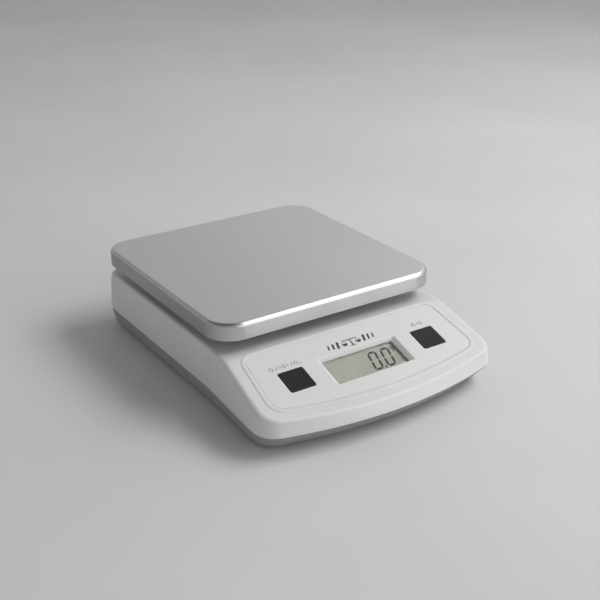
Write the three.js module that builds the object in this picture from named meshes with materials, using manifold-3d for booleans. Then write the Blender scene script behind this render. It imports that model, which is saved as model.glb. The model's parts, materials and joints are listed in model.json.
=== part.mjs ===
// Compact battery-powered bench scale: a stainless weighing tray on a single-point load cell,
// a two-shell plastic housing with a sloping front panel, a small LCD and two push buttons.
// Millimetres. X to the user's right, Y towards the back, Z up. The origin is on the surface
// that the scale stands on, under the middle of its outline.

import * as THREE from 'three';
import { ConvexGeometry } from 'three/addons/geometries/ConvexGeometry.js';
import { mergeVertices } from 'three/addons/utils/BufferGeometryUtils.js';
import Module from 'manifold-3d';

const wasm = await Module();
wasm.setup();

// ---------------------------------------------------------------- driving dimensions

const GAP = 0.3;                 // clearance between neighbouring pieces
const HALF_LENGTH = 98.3;        // front and back ends of the housing from the origin
const REAR_HALF_WIDTH = 69.5;    // housing at the seam, along its straight sides
const FRONT_HALF_WIDTH = 73;     // housing at the seam, at its widest point near the front
const FLARE_Y = -22.7;           // where the sides start to widen towards the front
const BOTTOM_Z = 2;              // underside of the housing, above the ground by the feet
const SEAM_Z = 11.4;             // joint between the two shells
const DECK_Z = 33.6;             // flat deck under the weighing tray
const WALL = 2.2;                // housing wall
const FLOOR = 2;                 // lower housing floor

const PANEL_SLOPE = THREE.MathUtils.degToRad(17.5);
const PANEL_Y = -41.4;           // reference point on the panel, under the tray's front edge
const PANEL_Z = 34.44;

const TRAY_WIDTH = 140;
const TRAY_DEPTH = 138;
const TRAY_Y = 27.3;             // centre of the weighing tray
const TRAY_TOP = 50;
const TRAY_SKIRT = 9.2;
const TRAY_CORNER = 15.2;
const TRAY_SHEET = 1;
const TRAY_EDGE_RADIUS = 1.6;

const BEAM_LENGTH = 80;
const BEAM_SIDE = 12.7;
const BEAM_Z = 16;               // underside of the load cell
const BEAM_HOLE_X = [26, 36];    // fixing holes, from the middle of the beam
const STOP_X = 31;               // overload stop, under the loaded end of the beam
const BEAM_TOP = BEAM_Z + BEAM_SIDE;
const TOP_PLATE = 2.6;           // room for the steel plate between the beam and the carrier's post
const STOP_CLEARANCE = 0.8;      // free travel above the overload stop

const BUTTON_X = 41.75;
const BUTTON_Y = -27.7;          // panel coordinates: Y runs up the slope
const BUTTON_WIDTH = 14.5;
const BUTTON_HEIGHT = 13.9;
const WINDOW = { left: -24.8, right: 24.8, low: -39, high: -19.4 };
const WINDOW_DEPTH = 3.1;        // from the panel surface down to the LCD
const BOARD_DEPTH = 9.4;         // from the panel surface to the top of the circuit board
const BOARD_THICKNESS = 1.6;

const CELL_RADIUS = 5.25;        // AAA cells
const CELL_LENGTH = 44.5;
const CELL_Z = 9.7;
const CELL_Y = [51.6, 63.4];
const BAY = { half: 26.5, front: 40.5, back: 77, ceiling: 16.2, wall: 1.6 };
const DOOR_THICKNESS = 1.8;

const FOOT_RADIUS = 6;
const FOOT_POCKET = 1.2;         // depth of the recess that a foot is glued into
const FOOT_PLACES = [[-52, -70], [52, -70], [-52, 82], [52, 82]];
const SCREW_PLACES = [[-57, -48], [57, -48], [-57, 62], [57, 62]];
const BOARD_SCREW_PLACES = [[-32.2, -13], [32.2, -13], [-32.2, -43.5], [32.2, -43.5]];

const SCREW_HOLE = 1.75;         // radii of the holes and seats for the three kinds of screw
const SCREW_SEAT = 3.3;
const BEAM_SCREW_HOLE = 2.4;
const BEAM_SCREW_SEAT = 4;
const BOARD_SCREW_HOLE = 1.4;
const SCREW_TOWER = 4.2;         // radii of the posts and bosses around them
const SCREW_BOSS = 3.6;
const BOARD_BOSS = 2.7;

// ---------------------------------------------------------------- materials

function paint(color, roughness, metalness = 0) {
  return new THREE.MeshStandardMaterial({ color, roughness, metalness });
}

const MATERIALS = {
  stainless: paint(0xa9a9a8, 0.34, 1),
  shell: paint(0xe6e6e4, 0.45),
  base: paint(0xb9b9b8, 0.55),
  overlay: paint(0xecece9, 0.4),
  button: paint(0x27282a, 0.5),
  lens: paint(0xd8dcd6, 0.08),
  lcd: paint(0xa9ab9c, 0.2),
  whitePlastic: paint(0xdededa, 0.5),
  greyPlastic: paint(0x8d8f90, 0.55),
  blackPlastic: paint(0x1d1d1e, 0.5),
  rubber: paint(0x2b2b2c, 0.85),
  silicone: paint(0xd9d6cc, 0.6),
  aluminium: paint(0xc2c4c6, 0.4, 1),
  steel: paint(0x8e9092, 0.35, 1),
  nickel: paint(0xb9b6ab, 0.25, 1),
  board: paint(0x1f6a45, 0.45),
  epoxy: paint(0x141414, 0.3),
  battery: paint(0x3c4a58, 0.35),
  cableGrey: paint(0x77797b, 0.5),
  leadRed: paint(0xa32222, 0.5),
  leadBlack: paint(0x1a1a1a, 0.5),
};

// ---------------------------------------------------------------- solids

function toSolid(geometry) {
  const bare = geometry.clone();
  bare.deleteAttribute('normal');
  bare.deleteAttribute('uv');
  const merged = mergeVertices(bare, 1e-4);
  const vertProperties = new Float32Array(merged.attributes.position.array);
  const triVerts = new Uint32Array(merged.index.array);
  return new wasm.Manifold(new wasm.Mesh({ numProp: 3, vertProperties, triVerts }));
}

function toGeometry(solid) {
  const mesh = solid.getMesh();
  const geometry = new THREE.BufferGeometry();
  geometry.setAttribute('position', new THREE.BufferAttribute(new Float32Array(mesh.vertProperties), 3));
  geometry.setIndex(new THREE.BufferAttribute(new Uint32Array(mesh.triVerts), 1));
  geometry.computeVertexNormals();
  return geometry;
}

const isSolid = (item) => item instanceof wasm.Manifold;
const asSolid = (item) => (isSolid(item) ? item : toSolid(item));
const asGeometry = (item) => (isSolid(item) ? toGeometry(item) : item);

function join(...items) {
  return items.map(asSolid).reduce((whole, item) => whole.add(item));
}

function cut(body, ...tools) {
  return tools.map(asSolid).reduce((rest, tool) => rest.subtract(tool), asSolid(body));
}

function common(first, second) {
  return asSolid(first).intersect(asSolid(second));
}

function block(x0, x1, y0, y1, z0, z1) {
  const geometry = new THREE.BoxGeometry(x1 - x0, y1 - y0, z1 - z0);
  return geometry.translate((x0 + x1) / 2, (y0 + y1) / 2, (z0 + z1) / 2);
}

function rod(radius, z0, z1, x = 0, y = 0, segments = 12) {
  const geometry = new THREE.CylinderGeometry(radius, radius, z1 - z0, segments);
  return geometry.rotateX(Math.PI / 2).translate(x, y, (z0 + z1) / 2);
}

// A turned piece: profile points are [radius, z], and the first and last lie on the axis.
function turned(profile, x = 0, y = 0, segments = 12) {
  const points = profile.map(([radius, z]) => new THREE.Vector2(radius, z));
  return new THREE.LatheGeometry(points, segments).rotateX(Math.PI / 2).translate(x, y, 0);
}

function prism(shape, z0, z1, curveSegments = 3) {
  const options = { depth: z1 - z0, bevelEnabled: false, curveSegments };
  return new THREE.ExtrudeGeometry(shape, options).translate(0, 0, z0);
}

function roundedRectangle(x0, x1, y0, y1, radius) {
  const shape = new THREE.Shape();
  shape.absarc(x1 - radius, y1 - radius, radius, 0, Math.PI / 2);
  shape.absarc(x0 + radius, y1 - radius, radius, Math.PI / 2, Math.PI);
  shape.absarc(x0 + radius, y0 + radius, radius, Math.PI, Math.PI * 1.5);
  shape.absarc(x1 - radius, y0 + radius, radius, Math.PI * 1.5, Math.PI * 2);
  return shape;
}

function tube(points, radius, sides = 8, steps = 40) {
  const section = new THREE.Shape();
  for (let i = 0; i < sides; i += 1) {
    const angle = (i / sides) * Math.PI * 2;
    const put = i === 0 ? 'moveTo' : 'lineTo';
    section[put](radius * Math.cos(angle), radius * Math.sin(angle));
  }
  const path = new THREE.CatmullRomCurve3(points.map((point) => new THREE.Vector3(...point)));
  return new THREE.ExtrudeGeometry(section, { steps, extrudePath: path, bevelEnabled: false });
}

// Pan-head self-tapping screw, head down, with a cross recess left out of the solid.
function screw(headRadius, headHeight, shankRadius, length, z0, x, y) {
  const profile = [
    [0, z0],
    [headRadius * 0.7, z0],
    [headRadius, z0 + headHeight * 0.45],
    [headRadius, z0 + headHeight],
    [shankRadius, z0 + headHeight],
    [shankRadius, z0 + headHeight + length - shankRadius],
    [0, z0 + headHeight + length],
  ];
  return turned(profile, x, y, 8);
}

// ---------------------------------------------------------------- scene graph

const scale = new THREE.Group();
const panel = new THREE.Group();
panel.position.set(0, PANEL_Y, PANEL_Z);
panel.rotation.x = PANEL_SLOPE;
scale.add(panel);
scale.updateMatrixWorld(true);

function piece(parent, name, item, material) {
  const mesh = new THREE.Mesh(asGeometry(item), material);
  mesh.name = name;
  parent.add(mesh);
  return mesh;
}

// Panel coordinates into the whole scale's coordinates, for cuts made in the upper housing.
function onPanel(item) {
  return asGeometry(item).clone().applyMatrix4(panel.matrixWorld);
}

function panelPoint(x, y, z) {
  return new THREE.Vector3(x, y, z).applyMatrix4(panel.matrixWorld).toArray();
}

function panelSurface(y) {
  return PANEL_Z + (y - PANEL_Y) * Math.tan(PANEL_SLOPE);
}

const RIDGE_Y = PANEL_Y + (DECK_Z - PANEL_Z) / Math.tan(PANEL_SLOPE);

// ---------------------------------------------------------------- housing outlines

const SEAM_OUTLINE = {
  rearHalf: REAR_HALF_WIDTH,
  frontHalf: FRONT_HALF_WIDTH,
  back: HALF_LENGTH,
  front: -HALF_LENGTH,
  rearRadius: 10,
  cornerRadius: 12,
  bow: 234,
};
const TOP_OUTLINE = {
  rearHalf: REAR_HALF_WIDTH - 1.5,
  frontHalf: FRONT_HALF_WIDTH - 1.7,
  back: HALF_LENGTH - 1.5,
  front: 3.2 - HALF_LENGTH,
  rearRadius: 9,
  cornerRadius: 10,
  bow: 300,
};
const BOTTOM_OUTLINE = {
  rearHalf: REAR_HALF_WIDTH - 2,
  frontHalf: FRONT_HALF_WIDTH - 3.5,
  back: HALF_LENGTH - 2,
  front: 8.4 - HALF_LENGTH,
  rearRadius: 9,
  cornerRadius: 10,
  bow: 234,
};

function inset(outline, distance) {
  return {
    rearHalf: outline.rearHalf - distance,
    frontHalf: outline.frontHalf - distance,
    back: outline.back - distance,
    front: outline.front + distance,
    rearRadius: Math.max(outline.rearRadius - distance, 3),
    cornerRadius: Math.max(outline.cornerRadius - distance, 3),
    bow: outline.bow - distance,
  };
}

function arcPoints(x, y, radius, from, to, steps) {
  const points = [];
  for (let i = 0; i <= steps; i += 1) {
    const angle = from + ((to - from) * i) / steps;
    points.push([x + radius * Math.cos(angle), y + radius * Math.sin(angle)]);
  }
  return points;
}

// Right half of a housing outline from the back to the middle of the bowed front, in two lists:
// the straight rear part, and the front part, which widens to the front corner.
function halfOutline(outline) {
  const { rearHalf, frontHalf, back, front, rearRadius, cornerRadius, bow } = outline;
  const bowCentre = front + bow;
  const cornerX = frontHalf - cornerRadius;
  const cornerY = bowCentre - Math.sqrt((bow - cornerRadius) ** 2 - cornerX ** 2);
  const meet = Math.atan2(cornerY - bowCentre, cornerX);
  const rear = [
    ...arcPoints(rearHalf - rearRadius, back - rearRadius, rearRadius, Math.PI / 2, 0, 5),
    [rearHalf, FLARE_Y],
  ];
  const forward = [
    [rearHalf, FLARE_Y],
    ...arcPoints(cornerX, cornerY, cornerRadius, 0, meet, 7),
    ...arcPoints(0, bowCentre, bow, meet, -Math.PI / 2, 7).slice(1),
  ];
  return { rear, forward, wideY: cornerY };
}

function flareWidth(outline, y) {
  const { wideY } = halfOutline(outline);
  const share = (FLARE_Y - y) / (FLARE_Y - wideY);
  return outline.rearHalf + (outline.frontHalf - outline.rearHalf) * share;
}

// Hull of several outlines, each at its own height; height is a number or a function of y.
function hullOf(levels, part) {
  const points = [];
  for (const { outline, height, extra = [] } of levels) {
    const heightAt = typeof height === 'function' ? height : () => height;
    const list = [...halfOutline(outline)[part], ...(part === 'forward' ? extra : [])];
    for (const [x, y] of list) {
      points.push(new THREE.Vector3(x, y, heightAt(y)));
      points.push(new THREE.Vector3(-x, y, heightAt(y)));
    }
  }
  return new ConvexGeometry(points);
}

function shellBody(levels) {
  return join(hullOf(levels, 'rear'), hullOf(levels, 'forward'));
}

// ---------------------------------------------------------------- upper housing

const CREASE_SHARE = 0.7;        // height of the side crease between seam and top edge
const CREASE_OUTLINE = {
  rearHalf: REAR_HALF_WIDTH - 0.5,
  frontHalf: FRONT_HALF_WIDTH - 0.6,
  back: HALF_LENGTH - 0.5,
  front: 2 - HALF_LENGTH,
  rearRadius: 9.7,
  cornerRadius: 11.4,
  bow: 260,
};
const surfaceAt = (y) => Math.min(DECK_Z, panelSurface(y));
const creaseAt = (y) => SEAM_Z + (surfaceAt(y) - SEAM_Z) * CREASE_SHARE;
const POST = { x0: 21, x1: 41, y0: TRAY_Y - 8, y1: TRAY_Y + 8 };
const POST_GAP = 1.5;            // free space around the carrier's post where it passes the deck
const RIM = 1.6;                 // thickness of the collar and of the rim under the window

function postBlock(grow, z0, z1) {
  return block(POST.x0 - grow, POST.x1 + grow, POST.y0 - grow, POST.y1 + grow, z0, z1);
}

function upperHull(distance, drop, seamHeight) {
  const ridge = (outline) => [[flareWidth(outline, RIDGE_Y), RIDGE_Y]];
  const top = inset(TOP_OUTLINE, distance);
  const crease = inset(CREASE_OUTLINE, distance);
  return shellBody([
    { outline: inset(SEAM_OUTLINE, distance), height: seamHeight },
    { outline: crease, height: (y) => creaseAt(y) - drop, extra: ridge(crease) },
    { outline: top, height: (y) => surfaceAt(y) - drop, extra: ridge(top) },
  ]);
}

function buttonShape(x, grow, radius) {
  const halfWidth = BUTTON_WIDTH / 2 + grow;
  const low = BUTTON_Y - BUTTON_HEIGHT / 2 - grow;
  const high = BUTTON_Y + BUTTON_HEIGHT / 2 + grow;
  return roundedRectangle(x - halfWidth, x + halfWidth, low, high, radius);
}

function buttonOpening(x) {
  return prism(buttonShape(x, GAP, 1.2), -WALL - 2, 2);
}

function windowPlate(margin, z0, z1) {
  const { left, right, low, high } = WINDOW;
  return block(left - margin, right + margin, low - margin, high + margin, z0, z1);
}

function windowOpening() {
  return windowPlate(0, -WALL - 3, 2);
}

// Rounded field of the printed overlay; it bows forward like the front of the housing.
const FIELD = {
  topHalf: 60, bottomHalf: 62.2, high: -4.8, low: -42.8, bowed: -48.4, radius: 6, bottomRadius: 7,
};
const BEAD_WIDTH = 2.5;
const BEAD_TOP = 0.28;

function fieldShape(grow) {
  const shape = new THREE.Shape();
  const topHalf = FIELD.topHalf + grow;
  const bottomHalf = FIELD.bottomHalf + grow;
  const high = FIELD.high + grow;
  const low = FIELD.low - grow;
  const bowed = FIELD.bowed - grow;
  const { radius, bottomRadius } = FIELD;
  const side = bottomHalf - bottomRadius;
  shape.absarc(topHalf - radius, high - radius, radius, 0, Math.PI / 2);
  shape.absarc(radius - topHalf, high - radius, radius, Math.PI / 2, Math.PI);
  shape.absarc(-side, low + bottomRadius, bottomRadius, Math.PI, Math.PI * 1.42);
  shape.quadraticCurveTo(0, 2 * bowed - low, side + bottomRadius * 0.25, low);
  shape.absarc(side, low + bottomRadius, bottomRadius, Math.PI * 1.58, Math.PI * 2);
  return shape;
}

// Low raised border; the pocket of the overlay is cut out of its middle.
function borderBead() {
  return onPanel(prism(fieldShape(BEAD_WIDTH), -1, BEAD_TOP, 5));
}

function upperHousing() {
  const outer = upperHull(0, 0, SEAM_Z);
  const inner = upperHull(WALL, WALL, SEAM_Z - 4);
  const bosses = SCREW_PLACES.map(([x, y]) => rod(SCREW_BOSS, SEAM_Z - 2, DECK_Z - 1, x, y));
  const bossHoles = SCREW_PLACES.map(([x, y]) => rod(SCREW_HOLE, SEAM_Z - 4, 22, x, y, 8));
  const boardBosses = BOARD_SCREW_PLACES.map(([x, y]) =>
    onPanel(rod(BOARD_BOSS, GAP - BOARD_DEPTH, 1 - WALL, x, y)));
  const boardHoles = BOARD_SCREW_PLACES.map(([x, y]) =>
    onPanel(rod(BOARD_SCREW_HOLE, -BOARD_DEPTH, -3.2, x, y, 8)));
  const rim = onPanel(windowPlate(RIM, -WINDOW_DEPTH, 1 - WALL));
  const collar = postBlock(POST_GAP + RIM, DECK_Z - 1, DECK_Z + RIM);
  const shell = join(
    cut(outer, inner), common(join(...bosses), outer), ...boardBosses, rim, collar, borderBead());
  return cut(
    shell,
    ...bossHoles,
    ...boardHoles,
    postBlock(POST_GAP, 20, 60),
    onPanel(windowOpening()),
    onPanel(buttonOpening(-BUTTON_X)),
    onPanel(buttonOpening(BUTTON_X)),
    onPanel(prism(fieldShape(GAP), -0.6, 2, 5)),
  );
}

// ---------------------------------------------------------------- lower housing

function lowerHull(distance, floorHeight, seamHeight) {
  return shellBody([
    { outline: inset(BOTTOM_OUTLINE, distance), height: floorHeight },
    { outline: inset(SEAM_OUTLINE, distance), height: seamHeight },
  ]);
}

const PEDESTAL = { x0: -42, x1: -20, y0: TRAY_Y - 8, y1: TRAY_Y + 8, top: 12 };

function lowerHousing() {
  const lipHeight = SEAM_Z + 2;
  const floorTop = BOTTOM_Z + FLOOR;
  const outer = lowerHull(0, BOTTOM_Z, SEAM_Z - GAP);
  const lip = common(
    upperHull(WALL + 2 * GAP, WALL + 2 * GAP, SEAM_Z - 4),
    block(-100, 100, -120, 120, SEAM_Z - 2, lipHeight),
  );
  const hollow = shellBody([
    { outline: inset(BOTTOM_OUTLINE, WALL + 1.6), height: floorTop },
    { outline: inset(SEAM_OUTLINE, WALL + 1.6), height: SEAM_Z },
    { outline: inset(SEAM_OUTLINE, WALL + 1.6), height: lipHeight + 2 },
  ]);
  const towers = SCREW_PLACES.map(([x, y]) => rod(SCREW_TOWER, BOTTOM_Z + 1, SEAM_Z - 2 - GAP, x, y));
  const pedestal = block(PEDESTAL.x0, PEDESTAL.x1, PEDESTAL.y0, PEDESTAL.y1, BOTTOM_Z + 1, PEDESTAL.top);
  const stopBoss = rod(SCREW_TOWER, BOTTOM_Z + 1, 11, STOP_X, TRAY_Y);
  const bayOuter = block(-BAY.half - BAY.wall, BAY.half + BAY.wall, BAY.front - 3.1, BAY.back + 2.8,
    BOTTOM_Z + 1, BAY.ceiling + BAY.wall);
  const bayInner = block(-BAY.half, BAY.half, BAY.front - 1.6, BAY.back + 1.2, floorTop, BAY.ceiling);
  const doorway = block(-BAY.half, BAY.half, BAY.front, BAY.back, 0, floorTop + 1);
  const thumbNotch = turned([[0, 1], [7, 1], [7, 2.2], [4, 3.2], [0, 3.2]], 0, BAY.back + 1, 16);
  const tabSlots = CELL_Y.map((y) => block(-BAY.half - 3, -BAY.half + 1, y - 2, y + 2, 8, 11));
  const screwHoles = SCREW_PLACES.flatMap(([x, y]) => [
    rod(SCREW_SEAT, 0, 5.2, x, y),
    rod(SCREW_HOLE, 0, 20, x, y, 8),
  ]);
  const beamHoles = BEAM_HOLE_X.flatMap((x) => [
    rod(BEAM_SCREW_SEAT, 0, 5.4, -x, TRAY_Y),
    rod(BEAM_SCREW_HOLE, 0, 20, -x, TRAY_Y, 8),
  ]);
  const footPockets = FOOT_PLACES.map(([x, y]) =>
    rod(FOOT_RADIUS + GAP * 1.5, 0, BOTTOM_Z + FOOT_POCKET, x, y, 20));
  const shell = cut(join(outer, lip), hollow);
  return cut(
    join(shell, ...towers, pedestal, stopBoss, bayOuter),
    bayInner,
    doorway,
    thumbNotch,
    ...tabSlots,
    ...screwHoles,
    ...beamHoles,
    rod(1.8, 6, 20, STOP_X, TRAY_Y),
    ...footPockets,
  );
}

piece(scale, 'lower_housing', lowerHousing(), MATERIALS.base);
piece(scale, 'upper_housing', upperHousing(), MATERIALS.shell);

// ---------------------------------------------------------------- weighing tray and carrier

function roundedPan(halfWidth, halfDepth, radius, top, bottom, edge) {
  const shape = roundedRectangle(-halfWidth, halfWidth, -halfDepth, halfDepth, radius);
  const options = {
    depth: top - bottom,
    bevelThickness: edge,
    bevelSize: edge,
    bevelOffset: -edge,
    bevelSegments: 2,
    curveSegments: 6,
  };
  const geometry = new THREE.ExtrudeGeometry(shape, options);
  return geometry.translate(0, TRAY_Y, bottom - edge);
}

function weighingTray() {
  const bottom = TRAY_TOP - TRAY_SKIRT;
  const outer = roundedPan(TRAY_WIDTH / 2, TRAY_DEPTH / 2, TRAY_CORNER, TRAY_TOP, bottom, TRAY_EDGE_RADIUS);
  const inner = roundedPan(
    TRAY_WIDTH / 2 - TRAY_SHEET,
    TRAY_DEPTH / 2 - TRAY_SHEET,
    TRAY_CORNER - TRAY_SHEET,
    TRAY_TOP - TRAY_SHEET,
    bottom - 4,
    TRAY_EDGE_RADIUS - TRAY_SHEET / 2,
  );
  return cut(outer, inner, block(-80, 80, -60, 120, 0, bottom));
}

piece(scale, 'weighing_tray', weighingTray(), MATERIALS.stainless);

const CARRIER = { half: 50, depth: 48, low: 42.4, high: 45.4, rib: 39 };
const PAD_PLACES = [[-42, -40], [42, -40], [-42, 40], [42, 40]];
const PAD_RADIUS = 4.5;

function trayCarrier() {
  const { half, depth, low, high, rib } = CARRIER;
  const plate = prism(roundedRectangle(-half, half, TRAY_Y - depth, TRAY_Y + depth, 10), low, high);
  const lightening = [];
  for (const side of [-1, 1]) {
    const centre = TRAY_Y + side * 28;
    lightening.push(prism(roundedRectangle(-34, -8, centre - 11, centre + 11, 4), 0, 60));
    lightening.push(prism(roundedRectangle(8, 34, centre - 11, centre + 11, 4), 0, 60));
  }
  const ribs = [
    block(-half + 4, half - 4, TRAY_Y - 14.5, TRAY_Y - 12.5, rib, low + 1),
    block(-half + 4, half - 4, TRAY_Y + 12.5, TRAY_Y + 14.5, rib, low + 1),
    block(-4, -2, TRAY_Y - depth + 4, TRAY_Y + depth - 4, rib, low + 1),
    block(2, 4, TRAY_Y - depth + 4, TRAY_Y + depth - 4, rib, low + 1),
  ];
  const post = postBlock(0, BEAM_TOP + TOP_PLATE, low + 1);
  const boltHoles = BEAM_HOLE_X.flatMap((x) => [
    rod(BEAM_SCREW_HOLE, 20, 60, x, TRAY_Y, 8),
    rod(BEAM_SCREW_SEAT, 41.8, 60, x, TRAY_Y),
  ]);
  const padSeats = PAD_PLACES.map(([x, y]) => rod(PAD_RADIUS + GAP, high - 1, 60, x, TRAY_Y + y));
  return cut(join(plate, ...ribs, post), ...lightening, ...boltHoles, ...padSeats);
}

piece(scale, 'tray_carrier', trayCarrier(), MATERIALS.greyPlastic);

PAD_PLACES.forEach(([x, y], index) => {
  const low = CARRIER.high - 1 + GAP;
  const high = TRAY_TOP - TRAY_SHEET - GAP;
  const chamfer = 0.8;
  const side = [[PAD_RADIUS, low], [PAD_RADIUS, high - chamfer], [PAD_RADIUS - chamfer, high]];
  const profile = [[0, low], ...side, [0, high]];
  piece(scale, `tray_pad_${index + 1}`, turned(profile, x, TRAY_Y + y), MATERIALS.rubber);
});

// ---------------------------------------------------------------- load cell

function loadCell() {
  const half = BEAM_LENGTH / 2;
  const middle = BEAM_SIDE / 2;
  const outline = new THREE.Shape();
  outline.moveTo(-half, 0);
  outline.lineTo(half, 0);
  outline.lineTo(half, BEAM_SIDE);
  outline.lineTo(-half, BEAM_SIDE);
  const hole = new THREE.Path();
  const holeRadius = 5;
  const holeX = 8;
  const neck = 0.6;
  hole.absarc(holeX, middle, holeRadius, -Math.PI + neck, Math.PI - neck);
  hole.absarc(-holeX, middle, holeRadius, neck, Math.PI * 2 - neck);
  outline.holes.push(hole);
  const options = { depth: BEAM_SIDE, bevelEnabled: false, curveSegments: 10 };
  const beam = new THREE.ExtrudeGeometry(outline, options);
  beam.rotateX(Math.PI / 2).translate(0, TRAY_Y + BEAM_SIDE / 2, BEAM_Z);
  const holes = BEAM_HOLE_X.flatMap((x) => [
    rod(BEAM_SCREW_HOLE, BEAM_Z - 1, BEAM_TOP + 1, x, TRAY_Y, 8),
    rod(BEAM_SCREW_HOLE, BEAM_Z - 1, BEAM_TOP + 1, -x, TRAY_Y, 8),
  ]);
  return cut(beam, ...holes);
}

piece(scale, 'load_cell', loadCell(), MATERIALS.aluminium);

function drilledPlate(x0, x1, z0, z1, sign) {
  const plate = block(x0, x1, TRAY_Y - 7.5, TRAY_Y + 7.5, z0, z1);
  return cut(plate, ...BEAM_HOLE_X.map((x) => rod(BEAM_SCREW_HOLE, z0 - 1, z1 + 1, sign * x, TRAY_Y, 8)));
}

piece(scale, 'load_cell_base_plate',
  drilledPlate(-POST.x1, -POST.x0, PEDESTAL.top + GAP, BEAM_Z - GAP, -1), MATERIALS.steel);
piece(scale, 'load_cell_top_plate',
  drilledPlate(POST.x0, POST.x1, BEAM_TOP + GAP, BEAM_TOP + TOP_PLATE - GAP, 1), MATERIALS.steel);

// Potting over the strain gauges on the two thin necks of the beam.
const COATING = 1.2;

function gaugeCoating(low) {
  return prism(roundedRectangle(-17, 17, TRAY_Y - 5.6, TRAY_Y + 5.6, 2), low, low + COATING);
}

piece(scale, 'gauge_coating_top', gaugeCoating(BEAM_TOP + GAP), MATERIALS.silicone);
piece(scale, 'gauge_coating_bottom', gaugeCoating(BEAM_Z - GAP - COATING), MATERIALS.silicone);

BEAM_HOLE_X.forEach((x, index) => {
  const fromBelow = screw(3.6, 2.4, 2, 17, 2.7, -x, TRAY_Y);
  piece(scale, `load_cell_base_screw_${index + 1}`, fromBelow, MATERIALS.steel);
  const fromAbove = screw(3.6, 2.4, 2, 20, 0, 0, 0).rotateX(Math.PI).translate(x, TRAY_Y, 44.5);
  piece(scale, `load_cell_top_screw_${index + 1}`, fromAbove, MATERIALS.steel);
});

function overloadStop() {
  const top = BEAM_Z - STOP_CLEARANCE;
  const profile = [[0, 7], [1.5, 7], [1.5, 11.3], [3, 11.3], [3, top - 0.4], [2.6, top], [0, top]];
  return turned(profile, STOP_X, TRAY_Y);
}

piece(scale, 'overload_stop_screw', overloadStop(), MATERIALS.steel);

// ---------------------------------------------------------------- panel pieces

function overlay() {
  const sheet = prism(fieldShape(0), -0.6 + GAP, 0.2, 5);
  return cut(sheet, windowOpening(), buttonOpening(-BUTTON_X), buttonOpening(BUTTON_X));
}

piece(panel, 'panel_overlay', overlay(), MATERIALS.overlay);

const LENS = { margin: -GAP, top: -WINDOW_DEPTH + 0.8, thickness: 0.8 };
const LCD = { top: -WINDOW_DEPTH - GAP, thickness: 2.2 };

piece(panel, 'display_lens', windowPlate(LENS.margin, LENS.top - LENS.thickness, LENS.top), MATERIALS.lens);
piece(panel, 'lcd_glass', windowPlate(2.2, LCD.top - LCD.thickness, LCD.top), MATERIALS.lcd);

function lcdFrame() {
  const low = GAP - BOARD_DEPTH;
  const high = LCD.top;
  const outer = windowPlate(4.2, low, high);
  const pocket = windowPlate(2.5, low - 1, high + 1);
  const shelf = cut(windowPlate(4.2, low, LCD.top - LCD.thickness - GAP), windowPlate(0.4, low - 1, high));
  return join(cut(outer, pocket), shelf);
}

piece(panel, 'lcd_frame', lcdFrame(), MATERIALS.whitePlastic);
piece(panel, 'lcd_connector_strip',
  block(-22, 22, WINDOW.high - 3.2, WINDOW.high - 0.8, GAP - BOARD_DEPTH, LCD.top - LCD.thickness - GAP),
  MATERIALS.silicone);

const BOARD = { half: 53, high: -9.5, low: -47 };
const BOARD_BACK = -BOARD_DEPTH - BOARD_THICKNESS;

function mainBoard() {
  const shape = roundedRectangle(-BOARD.half, BOARD.half, BOARD.low, BOARD.high, 2);
  const plate = prism(shape, BOARD_BACK, -BOARD_DEPTH);
  return cut(plate, ...BOARD_SCREW_PLACES.map(([x, y]) => rod(1.5, -20, 0, x, y, 8)));
}

piece(panel, 'main_board', mainBoard(), MATERIALS.board);

// Parts on the back of the board are turned from profiles that start below it: [radius, depth].
function onBoardBack(profile, x, y) {
  return turned(profile.map(([radius, depth]) => [radius, BOARD_BACK - depth]), x, y);
}

const DROP = [[0, 1.6], [3.5, 1.4], [6.5, GAP], [0, GAP]];
const CAN = [[0, 5], [2.2, 5], [2.2, GAP], [0, GAP]];
piece(panel, 'controller_chip', onBoardBack(DROP, 8, -28), MATERIALS.epoxy);
piece(panel, 'converter_chip',
  block(-18, -8, -31, -27, BOARD_BACK - 1.9, BOARD_BACK - GAP), MATERIALS.epoxy);
piece(panel, 'filter_capacitor', onBoardBack(CAN, 24, -22), MATERIALS.blackPlastic);

BOARD_SCREW_PLACES.forEach(([x, y], index) => {
  const geometry = screw(2.5, 1.5, 1, 7.2, BOARD_BACK - GAP - 1.5, x, y);
  piece(panel, `board_screw_${index + 1}`, geometry, MATERIALS.steel);
});

// Push button: a flush square cap with a retaining flange, and a stem over the switch plunger.
const SWITCH_TOP = 3.5 - BOARD_DEPTH + GAP;
const PLUNGER_TOP = SWITCH_TOP + 0.9;

const FLANGE_TOP = -WALL - GAP;
const FLANGE_WIDTH = 1.2;

function buttonCap(x) {
  const halfX = BUTTON_WIDTH / 2 + FLANGE_WIDTH;
  const halfY = BUTTON_HEIGHT / 2 + FLANGE_WIDTH;
  const face = prism(buttonShape(x, 0, 1), FLANGE_TOP - 0.3, 0.1);
  const low = BUTTON_Y - halfY;
  const high = BUTTON_Y + halfY;
  const flange = block(x - halfX, x + halfX, low, high, FLANGE_TOP - 1, FLANGE_TOP);
  const stem = rod(2.2, PLUNGER_TOP + GAP, FLANGE_TOP, x, BUTTON_Y);
  return join(face, flange, stem);
}

function switchBody(x) {
  const low = GAP - BOARD_DEPTH;
  const body = block(x - 3, x + 3, BUTTON_Y - 3, BUTTON_Y + 3, low, SWITCH_TOP);
  return cut(body, rod(2, SWITCH_TOP - 2, SWITCH_TOP + 1, x, BUTTON_Y));
}

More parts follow.
